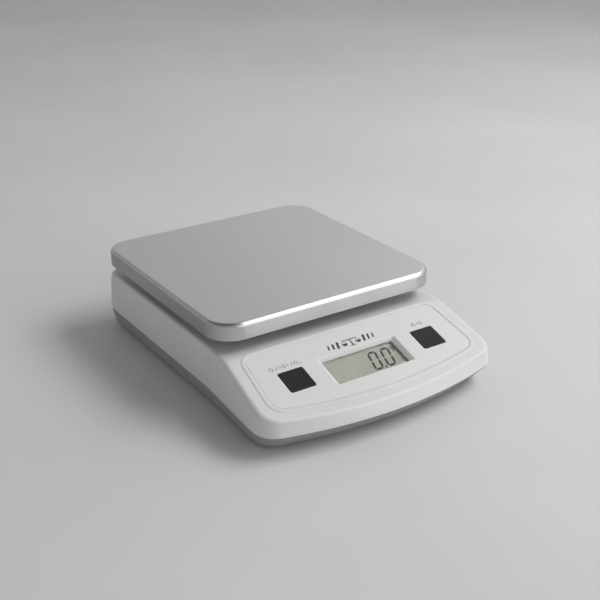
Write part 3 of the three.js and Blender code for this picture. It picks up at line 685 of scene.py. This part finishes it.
def digit_segments(x, low, height, width, thick, which):
    """Seven-segment shapes; x is the middle of the digit and low its foot."""
    half = (width - thick) / 2
    foot, head, middle = low + thick / 2, low + height - thick / 2, low + height / 2
    ends = {
        "a": (-half, head, half, head),
        "b": (half, head, half, middle),
        "c": (half, middle, half, foot),
        "d": (-half, foot, half, foot),
        "e": (-half, middle, -half, foot),
        "f": (-half, head, -half, middle),
        "g": (-half, middle, half, middle),
    }
    shapes = []
    for letter in which:
        ax, ay, bx, by = ends[letter]
        shape = bar(x + ax, ay, x + bx, by, thick, thick * 0.2)
        shapes.append([(px + (py - low) * DIGIT_SLANT, py) for px, py in shape])
    return shapes


DIGIT_LOW = -35.7
DIGITS = ((5.1, "abcdef"), (13.2, "abcdef"))
POINT = {"left": 8.7, "size": 1.2, "radius": 0.3}
UNIT_SIGN = {"x": 20.1, "drop": 4.2, "height": 3.8, "width": 2.2, "stroke": 0.48}


def lit_segments():
    """The digits 0.0 with a small unit sign behind them."""
    shapes = []
    for x, which in DIGITS:
        shapes += digit_segments(x, DIGIT_LOW, DIGIT_HEIGHT, DIGIT_WIDTH, SEGMENT, which)
    size = POINT["size"]
    shapes.append(rounded_rectangle(POINT["left"], POINT["left"] + size, DIGIT_LOW,
                                    DIGIT_LOW + size, POINT["radius"], 3))
    shapes += digit_segments(UNIT_SIGN["x"], DIGIT_LOW + DIGIT_HEIGHT - UNIT_SIGN["drop"],
                             UNIT_SIGN["height"], UNIT_SIGN["width"], UNIT_SIGN["stroke"],
                             "abcdfg")
    return flat_shapes("lcd_lit_segments", shapes, LCD_Z + 0.01, LCD_Z + 0.05)


lit = lit_segments()
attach(lit, "housing")

LENS_EDGE = 0.08
LENS_PLAY = 0.06
LENS_TOP = -WINDOW_DEPTH - 0.25
LENS_FOOT = -WINDOW_DEPTH - 0.75


def build_lens():
    """Thin clear window just under the foot of the bevel."""
    full, chamfered = window_loop(1, -LENS_PLAY), window_loop(1, -LENS_EDGE - LENS_PLAY)
    rings = [at_height(chamfered, LENS_FOOT), at_height(full, LENS_FOOT + LENS_EDGE),
             at_height(full, LENS_TOP - LENS_EDGE), at_height(chamfered, LENS_TOP)]
    return smooth(stack("display_lens_plate", rings, plain_cap, matrix=PANEL_MATRIX))


lens = build_lens()
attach(lens, "housing")
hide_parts("display_lens")

# ------------------------------------------------------------------ keys


KEY_TOP = 0.1
KEY_FOOT = -3.4
KEY_RADIUS = 1.1
KEY_EDGE = 0.45
KEY_DISH = 0.12


def build_key(name, x):
    """Square key cap with rounded edges and a slightly dished face."""
    half_width, half_height = BUTTON_WIDTH / 2, BUTTON_HEIGHT / 2

    def loop(grow):
        return rounded_rectangle(x - half_width - grow, x + half_width + grow,
                                 BUTTON_Y - half_height - grow, BUTTON_Y + half_height + grow,
                                 max(KEY_RADIUS + grow, 0.2))

    rings = [at_height(loop(0), KEY_FOOT)]
    for k in range(6):
        angle = math.pi / 2 * k / 5
        rings.append(at_height(loop(-KEY_EDGE * (1 - math.cos(angle))),
                               KEY_TOP - KEY_EDGE + KEY_EDGE * math.sin(angle)))
    for share in (0.2, 0.5, 0.8):
        ring = [(x + (px - x) * (1 - share), BUTTON_Y + (py - BUTTON_Y) * (1 - share))
                for px, py in loop(-KEY_EDGE)]
        rings.append(at_height(ring, KEY_TOP - KEY_DISH * math.sin(share * math.pi / 2)))
    return smooth(stack(name, rings, plain_cap, matrix=PANEL_MATRIX), 50)


KEYS = (("tare_key", "tare_button", -BUTTON_X), ("unit_key", "unit_button", BUTTON_X))

for body, node, x in KEYS:
    key = build_key(node + "_cap", x)
    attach(key, body)
    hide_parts(node)

# ------------------------------------------------------------------ weighing tray

TRAY_CORNER = 15.2
TRAY_SHEET = 1.0
TRAY_EDGE = 2.3
TRAY_SIDE_STEPS = 12
HEM = 0.4  # height of the rounded lower edge of the flange


def tray_loop(grow):
    """Plan outline of the tray, grown outwards by grow."""
    half_width = (tray_high.x - tray_low.x) / 2 + grow
    half_depth = (tray_high.y - tray_low.y) / 2 + grow
    radius = max(TRAY_CORNER + grow, 1)
    right = arc(half_width - radius, half_depth - radius, radius, math.pi / 2, 0, 20)
    side = half_depth - radius
    right += [(half_width, side - 2 * side * i / TRAY_SIDE_STEPS)
              for i in range(1, TRAY_SIDE_STEPS)]
    right += arc(half_width - radius, radius - half_depth, radius, 0, -math.pi / 2, 20)
    return [(x, y + TRAY_Y) for x, y in mirrored(right)]


def build_tray():
    """Pressed pan: a flat sheet with rounded edges and flanges all round."""
    low, high = tray_low.z, tray_high.z
    outer = [at_height(tray_loop(-0.35), low), at_height(tray_loop(-0.08), low + 0.1),
             at_height(tray_loop(0), low + HEM)]
    for k in range(10):
        angle = math.pi / 2 * k / 9
        outer.append(at_height(tray_loop(-TRAY_EDGE * (1 - math.cos(angle))),
                               high - TRAY_EDGE + TRAY_EDGE * math.sin(angle)))
    inner_edge = TRAY_EDGE - TRAY_SHEET
    inner = []
    for k in range(5):
        angle = math.pi / 2 * (1 - k / 4)
        inner.append(at_height(tray_loop(-TRAY_SHEET - inner_edge * (1 - math.cos(angle))),
                               high - TRAY_SHEET - inner_edge + inner_edge * math.sin(angle)))
    inner.append(at_height(tray_loop(-TRAY_SHEET), low + HEM))
    inner.append(at_height(tray_loop(-TRAY_SHEET + 0.3), low))
    return smooth(shell_stack("tray_pan", outer, inner), 50)


tray = build_tray()
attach(tray, "tray")
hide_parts("weighing_tray")

# ------------------------------------------------------------------ lower housing


def drum(name, x, y, radius, z0, z1, steps=40):
    """Upright cylinder."""
    angles = [2 * math.pi * i / steps for i in range(steps)]
    ring = [(x + radius * math.cos(angle), y + radius * math.sin(angle)) for angle in angles]
    return stack(name, [at_height(ring, z0), at_height(ring, z1)], plain_cap)


FLOOR_TOP = BOTTOM_Z + 2
LIP_TOP = SEAM_Z + 2
BAY = {"half": 26.5, "front": 40.5, "back": 77.0, "ceiling": 16.2, "wall": 1.6}
CELL_Y = (51.6, 63.4)
STOP_X = 31.0
TOWER_RADIUS = 4.2
SCREW_SEAT, SCREW_BORE = 3.3, 1.75
BEAM_SCREW_SEAT, BEAM_SCREW_BORE = 4, 2.4
FOOT_POCKET_RADIUS, FOOT_POCKET_DEPTH = 6.4, 1.2
SCREW_SEAT_TOP, BEAM_SCREW_SEAT_TOP = 5.2, 5.4
BORE_TOP = 20.0
PEDESTAL = {"x0": -42, "x1": -20, "top": 12}
STOP_BOSS_TOP, STOP_BORE, STOP_BORE_FOOT = 11, 1.8, 6
TAB_SLOT = {"length": 3, "half_width": 2, "low": 8, "high": 11}
THUMB_NOTCH = {"radius": 7, "low": 1, "high": 3.2}


def middle(node):
    """X and Y of the middle of a CAD node."""
    low, high = box_mm(node)
    return (low.x + high.x) / 2, (low.y + high.y) / 2


def lower_body():
    """Tray of the lower housing, with the lip that locates the upper one."""
    top = SEAM_Z - GAP
    columns = []
    for s, b in zip(seam_outline(), bottom_outline()):
        high = (*s, top)
        low = (*b, BOTTOM_Z)
        inwards = (b[0] * 0.985, b[1] * 0.985, BOTTOM_Z)
        corner = bezier(lerp(low, high, 0.16), low, inwards, 4)
        rim = (s[0] * 0.997, s[1] * 0.998, top)
        columns.append([rim, lerp(high, low, 0.05), lerp(high, low, 0.4)] + corner)
    lip = seam_outline(-WALL - 0.6)
    room = seam_outline(-WALL - 1.6)
    outer = [at_height(lip, LIP_TOP), at_height(lip, top)] + rings_from(columns)
    inner = [at_height(bottom_outline(-WALL - 1.6), FLOOR_TOP), at_height(room, LIP_TOP)]
    return shell_stack("lower_shell", outer, inner)


def lower_fixtures():
    """Screw towers, load cell pedestal, overload stop boss and battery bay."""
    foot = BOTTOM_Z + 1
    parts = [drum("tower", *middle(f"housing_screw_{i}"), TOWER_RADIUS, foot, SEAM_Z - 2.3)
             for i in range(1, 5)]
    parts.append(rounded_block("pedestal", PEDESTAL["x0"], PEDESTAL["x1"],
                               TRAY_Y - PEDESTAL_HALF_DEPTH, TRAY_Y + PEDESTAL_HALF_DEPTH,
                               foot, PEDESTAL["top"], 0.8))
    parts.append(drum("stop_boss", STOP_X, TRAY_Y, TOWER_RADIUS, foot, STOP_BOSS_TOP))
    side = BAY["half"] + BAY["wall"]
    parts.append(rounded_block("bay", -side, side, BAY["front"] - 3.1, BAY["back"] + 2.8, foot,
                               BAY["ceiling"] + BAY["wall"], 1.2))
    return parts


def lower_openings():
    """Screw and foot seats, the battery bay with its doorway, and the thumb notch."""
    holes = []
    for i in range(1, 5):
        x, y = middle(f"housing_screw_{i}")
        holes.append(drum("counterbore", x, y, SCREW_SEAT, 0, SCREW_SEAT_TOP))
        holes.append(drum("bore", x, y, SCREW_BORE, 0, BORE_TOP))
        holes.append(drum("pocket", *middle(f"foot_{i}"), FOOT_POCKET_RADIUS, 0,
                          BOTTOM_Z + FOOT_POCKET_DEPTH))
    for i in (1, 2):
        x = middle(f"load_cell_base_screw_{i}")[0]
        holes.append(drum("seat", x, TRAY_Y, BEAM_SCREW_SEAT, 0, BEAM_SCREW_SEAT_TOP))
        holes.append(drum("bore", x, TRAY_Y, BEAM_SCREW_BORE, 0, BORE_TOP))
    holes.append(drum("stop_bore", STOP_X, TRAY_Y, STOP_BORE, STOP_BORE_FOOT, BORE_TOP))
    half, front, back = BAY["half"], BAY["front"], BAY["back"]
    holes.append(rounded_block("bay_room", -half, half, front - 1.6, back + 1.2, FLOOR_TOP - 0.02,
                               BAY["ceiling"], 0.6))
    holes.append(rounded_block("doorway", -half, half, front, back, 0, FLOOR_TOP + 1, 0.6))
    for y in CELL_Y:
        holes.append(rounded_block("tab_slot", -half - TAB_SLOT["length"], 1 - half,
                                   y - TAB_SLOT["half_width"], y + TAB_SLOT["half_width"],
                                   TAB_SLOT["low"], TAB_SLOT["high"], 0.3))
    holes.append(drum("thumb_notch", 0, back + 1, THUMB_NOTCH["radius"], THUMB_NOTCH["low"],
                      THUMB_NOTCH["high"]))
    return holes


def build_lower():
    """Lower shell with its fixtures and openings."""
    shell = lower_body()
    combine(shell, lower_fixtures(), "UNION")
    combine(shell, lower_openings(), "DIFFERENCE")
    return smooth(shell, 30)


lower = build_lower()
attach(lower, "housing")
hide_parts("lower_housing")

# ------------------------------------------------------------------ materials


def scaled(color, factor):
    return tuple(min(channel * factor, 1) for channel in color)


class Nodes:
    """Small helper that adds and links shader nodes."""

    def __init__(self, name):
        self.material = bpy.data.materials.new(name)
        self.material.use_nodes = True
        self.tree = self.material.node_tree
        self.shader = self.tree.nodes["Principled BSDF"]
        coordinates = self.tree.nodes.new("ShaderNodeTexCoord")
        self.place = coordinates.outputs["Object"]

    def add(self, kind, **values):
        node = self.tree.nodes.new(kind)
        for key, value in values.items():
            if hasattr(node, key):
                setattr(node, key, value)
            else:
                node.inputs[key.replace("_", " ")].default_value = value
        return node

    def link(self, source, target):
        self.tree.links.new(source, target)

    def stretched(self, scale):
        mapping = self.add("ShaderNodeMapping")
        mapping.inputs["Scale"].default_value = scale
        self.link(self.place, mapping.inputs["Vector"])
        return mapping.outputs["Vector"]

    def noise(self, scale, detail=3.0, roughness=0.5, stretch=None):
        node = self.add("ShaderNodeTexNoise", Scale=scale, Detail=detail, Roughness=roughness)
        self.link(self.stretched(stretch) if stretch else self.place, node.inputs["Vector"])
        return node.outputs["Fac"]

    def ramp(self, source, low, high, from_low=0.3, from_high=0.7):
        node = self.add("ShaderNodeMapRange")
        node.inputs["From Min"].default_value = from_low
        node.inputs["From Max"].default_value = from_high
        node.inputs["To Min"].default_value = low
        node.inputs["To Max"].default_value = high
        self.link(source, node.inputs["Value"])
        return node.outputs["Result"]

    def mix(self, factor, first, second):
        node = self.add("ShaderNodeMix", data_type="RGBA")
        node.inputs["A"].default_value = (*first, 1)
        node.inputs["B"].default_value = (*second, 1)
        self.link(factor, node.inputs["Factor"])
        return node.outputs["Result"]

    def mottled(self, source, color, darker, lighter):
        """A colour that varies with the source between two shares of itself."""
        return self.mix(self.ramp(source, 0, 1), scaled(color, darker), scaled(color, lighter))

    def blend(self, factor, first, second):
        node = self.add("ShaderNodeMix", data_type="RGBA")
        self.link(factor, node.inputs["Factor"])
        self.link(first, node.inputs["A"])
        self.link(second, node.inputs["B"])
        return node.outputs["Result"]

    def bump(self, source, distance, strength=1.0, below=None):
        node = self.add("ShaderNodeBump", Strength=strength, Distance=distance)
        self.link(source, node.inputs["Height"])
        if below is not None:
            self.link(below, node.inputs["Normal"])
        return node.outputs["Normal"]

    def set(self, **values):
        for key, value in values.items():
            self.shader.inputs[key.replace("_", " ")].default_value = value

    def wire(self, source, name):
        self.link(source, self.shader.inputs[name])


def moulded(name, color, roughness, grain=2600.0, depth=0.000012, spread=0.04, gloss=0.5):
    """Moulded plastic: fine spark-eroded grain and a faint unevenness of colour and gloss."""
    m = Nodes(name)
    cloud = m.noise(22.0, 4.0)
    m.wire(m.mottled(cloud, color, 1 - spread, 1 + spread * 0.5), "Base Color")
    m.wire(m.ramp(m.noise(160.0, 3.0), roughness - 0.05, roughness + 0.06), "Roughness")
    m.set(Specular_IOR_Level=gloss)
    fine = m.bump(m.noise(grain, 2.0), depth, 0.5)
    m.wire(m.bump(m.noise(90.0, 2.0), 0.00003, 0.15, fine), "Normal")
    return m.material


def rubber(name, color, roughness):
    m = Nodes(name)
    m.wire(m.mottled(m.noise(400.0, 4.0), color, 0.8, 1.4), "Base Color")
    m.wire(m.ramp(m.noise(300.0, 2.0), roughness - 0.08, roughness + 0.08), "Roughness")
    m.wire(m.bump(m.noise(1500.0, 3.0), 0.00003, 0.5), "Normal")
    m.set(Specular_IOR_Level=0.35)
    return m.material


def metal(name, color, roughness, stretch, grain=900.0, depth=0.000004, variation=0.07):
    """Metal whose fine grain runs along the axis with the smallest stretch."""
    m = Nodes(name)
    lines = m.noise(grain, 4.0, 0.6, stretch)
    cloud = m.noise(9.0, 3.0)
    m.wire(m.mottled(lines, color, 0.965, 1.03), "Base Color")
    blend = m.add("ShaderNodeMath", operation="ADD")
    m.link(m.ramp(lines, -variation * 0.5, variation * 0.5), blend.inputs[0])
    m.link(m.ramp(cloud, roughness - 0.02, roughness + 0.02), blend.inputs[1])
    m.wire(blend.outputs[0], "Roughness")
    m.wire(m.bump(lines, depth, 0.35), "Normal")
    m.set(Metallic=1.0)
    return m.material


SIDE_PAINTED_SHADE = 0.72  # painted shade: share of the sheet's colour on faces turned to the sides
FRONT_PAINTED_HIGHLIGHT = 1.2  # painted highlight: share of the sheet's colour on faces turned to the front or back


def stainless_material():
    """Satin steel brushed along X, with painted shade on faces turned to the sides and a painted
    highlight on faces turned to the front or back.
    """
    m = Nodes("stainless_brushed")
    color = (0.525, 0.525, 0.52)
    grain = m.noise(5200.0, 3.0, 0.6, (0.004, 1, 1))
    cloud = m.noise(14.0, 3.0)
    surface = m.add("ShaderNodeNewGeometry")
    facing = m.add("ShaderNodeVectorMath", operation="MULTIPLY")
    m.link(surface.outputs["Normal"], facing.inputs[0])
    m.link(surface.outputs["Normal"], facing.inputs[1])
    turned = m.add("ShaderNodeSeparateXYZ")
    m.link(facing.outputs["Vector"], turned.inputs["Vector"])
    sheet = m.mottled(grain, color, 0.985, 1.015)
    # the surface normal picks painted shade for side faces and a painted highlight for front and
    # back faces
    ends = m.mottled(grain, color, SIDE_PAINTED_SHADE * 0.97, SIDE_PAINTED_SHADE)
    fronts = m.mottled(grain, color, FRONT_PAINTED_HIGHLIGHT * 0.97, FRONT_PAINTED_HIGHLIGHT)
    sides = m.blend(turned.outputs["X"], sheet, ends)
    m.wire(m.blend(turned.outputs["Y"], sides, fronts), "Base Color")
    m.wire(m.ramp(cloud, 0.35, 0.38), "Roughness")
    m.wire(m.bump(grain, 0.000003, 0.06), "Normal")
    along = m.add("ShaderNodeVectorMath", operation="CROSS_PRODUCT")
    along.inputs[1].default_value = (0, 1, 0.01)
    m.link(surface.outputs["Normal"], along.inputs[0])
    m.wire(along.outputs["Vector"], "Tangent")
    m.set(Metallic=1.0, Anisotropic=0.7, Anisotropic_Rotation=0.25)
    return m.material


def board_material():
    """Green solder mask over faint copper tracks."""
    m = Nodes("board_green")
    tracks = m.add("ShaderNodeTexVoronoi", distance="CHEBYCHEV", Scale=260.0)
    m.link(m.place, tracks.inputs["Vector"])
    m.wire(m.mix(m.ramp(tracks.outputs["Distance"], 0, 1, 0.35, 0.5), (0.012, 0.12, 0.05),
                 (0.03, 0.2, 0.09)), "Base Color")
    m.wire(m.ramp(m.noise(300.0), 0.3, 0.42), "Roughness")
    m.wire(m.bump(tracks.outputs["Distance"], 0.00004, 0.3), "Normal")
    return m.material


def lcd_material():
    """Grey-green reflective display with a faint grain and soft unevenness."""
    m = Nodes("lcd_grey_green")
    color = (0.8, 0.805, 0.71)
    m.wire(m.mottled(m.noise(60.0, 3.0), color, 0.96, 1.03), "Base Color")
    m.wire(m.ramp(m.noise(900.0, 2.0), 0.22, 0.3), "Roughness")
    m.wire(m.bump(m.noise(3200.0, 2.0), 0.000002, 0.1), "Normal")
    return m.material


def segment_material(name, color):
    m = Nodes(name)
    m.wire(m.mottled(m.noise(700.0, 2.0), color, 0.85, 1.15), "Base Color")
    m.wire(m.ramp(m.noise(500.0), 0.3, 0.4), "Roughness")
    return m.material


def lens_material():
    """Clear acrylic with very fine wipe marks."""
    m = Nodes("lens_clear")
    m.set(Base_Color=(0.985, 0.985, 0.98, 1), IOR=1.45, Transmission_Weight=1.0)
    wipes = m.noise(700.0, 3.0, 0.6, (1, 0.06, 1))
    m.wire(m.ramp(wipes, 0.02, 0.07), "Roughness")
    return m.material


def ink_material(name, color):
    m = Nodes(name)
    m.wire(m.mottled(m.noise(900.0, 3.0), color, 0.8, 1.25), "Base Color")
    m.wire(m.ramp(m.noise(600.0), 0.4, 0.55), "Roughness")
    m.wire(m.bump(m.noise(2500.0), 0.000006, 0.4), "Normal")
    return m.material


def battery_material():
    """Printed metal jacket: bands along the cell, with a bare cap at one end."""
    m = Nodes("battery_jacket")
    bands = m.noise(40.0, 1.0, 0.4, (6, 0.01, 0.01))
    m.wire(m.mix(m.ramp(bands, 0, 1, 0.48, 0.5), (0.02, 0.05, 0.12), (0.35, 0.36, 0.37)),
           "Base Color")
    m.wire(m.ramp(m.noise(300.0), 0.25, 0.35), "Roughness")
    m.set(Metallic=0.6)
    return m.material


SHELL_WHITE = (0.685, 0.685, 0.68)
MATERIALS = {
    "stainless": stainless_material(),
    "shell": moulded("shell_white", SHELL_WHITE, 0.46),
    "base": moulded("base_grey", (0.305, 0.305, 0.305), 0.55),
    "overlay": moulded("overlay_white", (0.715, 0.715, 0.706), 0.42, 3200.0, 0.000006, 0.02),
    "button": moulded("key_black", (0.016, 0.016, 0.017), 0.5, 2200.0, 0.00002, 0.15, 0.2),
    "lens": lens_material(),
    "lcd": lcd_material(),
    "white_plastic": moulded("inner_white", (0.74, 0.74, 0.72), 0.5),
    "carrier_plastic": moulded("carrier_grey", (0.25, 0.25, 0.26), 0.55),
    "black_plastic": moulded("black_plastic", (0.018, 0.018, 0.019), 0.5, 2600.0, 0.00001, 0.2),
    "rubber": rubber("rubber_black", (0.03, 0.03, 0.03), 0.8),
    "silicone": rubber("silicone_ivory", (0.66, 0.63, 0.56), 0.55),
    "aluminium": metal("aluminium_milled", (0.72, 0.73, 0.74), 0.38, (0.05, 1, 1), 900.0),
    "steel": metal("steel_plated", (0.5, 0.51, 0.52), 0.32, (1, 1, 0.2), 700.0),
    "nickel": metal("nickel_bright", (0.66, 0.64, 0.58), 0.2, (1, 1, 0.2), 600.0),
    "board": board_material(),
    "epoxy": moulded("epoxy_black", (0.01, 0.01, 0.01), 0.3, 900.0, 0.00001, 0.2),
    "battery": battery_material(),
    "cable_grey": rubber("cable_grey", (0.2, 0.2, 0.21), 0.5),
    "lead_red": rubber("lead_red", (0.42, 0.02, 0.02), 0.45),
    "lead_black": rubber("lead_black", (0.012, 0.012, 0.012), 0.45),
}


def paint(obj, material):
    obj.data.materials.clear()
    obj.data.materials.append(material)


for row in frame["record"]["subparts"]:
    node = frame["nodes"][row["node"]]
    for material_slot in node.material_slots:
        material_slot.material = MATERIALS[row["material_slot"]]

paint(upper, MATERIALS["shell"])
paint(lower, MATERIALS["base"])
paint(overlay, MATERIALS["overlay"])
paint(tray, MATERIALS["stainless"])
paint(lens, MATERIALS["lens"])
for name in ("tare_button_cap", "unit_button_cap"):
    paint(bpy.data.objects[name], MATERIALS["button"])
paint(marks["centre"], ink_material("ink_black", (0.03, 0.03, 0.032)))
for side in ("left", "right"):
    paint(marks[side], ink_material("ink_grey_" + side, (0.13, 0.13, 0.135)))
paint(lit, segment_material("segment_lit", (0.07, 0.08, 0.075)))

# ------------------------------------------------------------------ floor and light


def floor_material():
    """Pale sealed concrete."""
    m = Nodes("floor_pale")
    cloud = m.noise(5.0, 5.0)
    m.wire(m.mix(m.ramp(cloud, 0, 1), (0.65, 0.65, 0.65), (0.7, 0.7, 0.7)), "Base Color")
    m.wire(m.ramp(m.noise(30.0, 4.0), 0.6, 0.75), "Roughness")
    return m.material


FLOOR_REACH = 4000.0


def build_floor():
    reach = FLOOR_REACH
    ring = [(-reach, -reach), (reach, -reach), (reach, reach), (-reach, reach)]
    floor = make_object("floor", at_height(ring, 0.0), [(0, 1, 2, 3)])
    paint(floor, floor_material())


build_floor()


def area_light(name, place, target, width, height, power):
    """Soft rectangular light in metres and watts, aimed at target."""
    data = bpy.data.lights.new(name, "AREA")
    data.shape = "RECTANGLE"
    data.size = width
    data.size_y = height
    data.energy = power
    light = bpy.data.objects.new(name, data)
    light.location = place
    aim = Vector(target) - Vector(place)
    light.rotation_euler = aim.to_track_quat("-Z", "Y").to_euler()
    bpy.context.scene.collection.objects.link(light)


area_light("key", (0.75, -0.32, 1.0), (0, 0, 0.03), width=0.95, height=0.55, power=10)
area_light("front_fill", (0.9, -1.45, 0.55), (0, 0, 0.02), width=2.0, height=1.0, power=8.0)


def build_world():
    """Dim room: pale walls, brighter to the right and behind, under a dark ceiling."""
    world = bpy.data.worlds.new("studio")
    world.use_nodes = True
    tree = world.node_tree
    background = tree.nodes["Background"]
    place = tree.nodes.new("ShaderNodeTexCoord")

    def shade(direction, low, high, from_low, from_high):
        side = tree.nodes.new("ShaderNodeVectorMath")
        side.operation = "DOT_PRODUCT"
        side.inputs[1].default_value = direction
        tree.links.new(place.outputs["Generated"], side.inputs[0])
        level = tree.nodes.new("ShaderNodeMapRange")
        level.interpolation_type = "SMOOTHSTEP"
        level.inputs["From Min"].default_value = from_low
        level.inputs["From Max"].default_value = from_high
        level.inputs["To Min"].default_value = low
        level.inputs["To Max"].default_value = high
        tree.links.new(side.outputs["Value"], level.inputs["Value"])
        return level.outputs["Result"]

    walls = shade((0.86, 0.51, 0.0), low=0.44, high=0.74, from_low=-1.0, from_high=0.9)
    below_ceiling = shade((0.0, 0.0, 1.0), low=1.0, high=0.2, from_low=0.5, from_high=0.8)
    blend = tree.nodes.new("ShaderNodeMath")
    blend.operation = "MULTIPLY"
    tree.links.new(walls, blend.inputs[0])
    tree.links.new(below_ceiling, blend.inputs[1])
    tree.links.new(blend.outputs[0], background.inputs["Color"])
    bpy.context.scene.world = world


build_world()
bpy.context.scene.view_settings.view_transform = "Standard"
